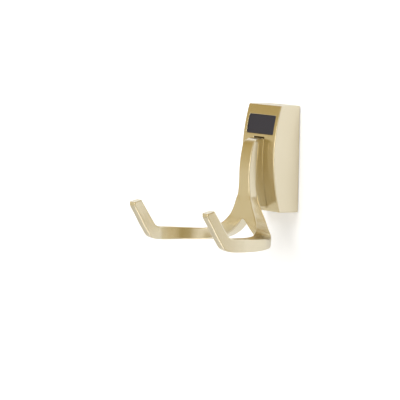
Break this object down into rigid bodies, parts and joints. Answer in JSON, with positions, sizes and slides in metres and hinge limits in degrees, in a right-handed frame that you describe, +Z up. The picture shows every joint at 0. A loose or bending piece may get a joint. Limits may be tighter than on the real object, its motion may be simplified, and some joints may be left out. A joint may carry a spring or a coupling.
{
  "type": "double robe hook",
  "caption": "Satin champagne-brass double robe hook: an arched wall post with a dark inset, and a cast stem that forks into forward-sweeping arms with upturned tips.",
  "frame": {"origin": "centre of the post's back, on the wall plane", "axes": "+X to the right for someone facing the wall, +Y into the wall, +Z up; the hook reaches out towards -Y"},
  "size_m": [0.0932, 0.0801, 0.0842],
  "materials": {
    "champagne_brass": "satin champagne brass",
    "charcoal_inset": "smooth charcoal",
    "zinc_steel": "bright zinc"
  },
  "bodies": {
    "root": {"base_housing": "champagne_brass", "face_inset": "charcoal_inset", "hook": "champagne_brass", "wall_bracket": "zinc_steel", "hook_screw_upper": "zinc_steel", "hook_screw_lower": "zinc_steel", "set_screw": "zinc_steel"}
  },
  "joints": []
}
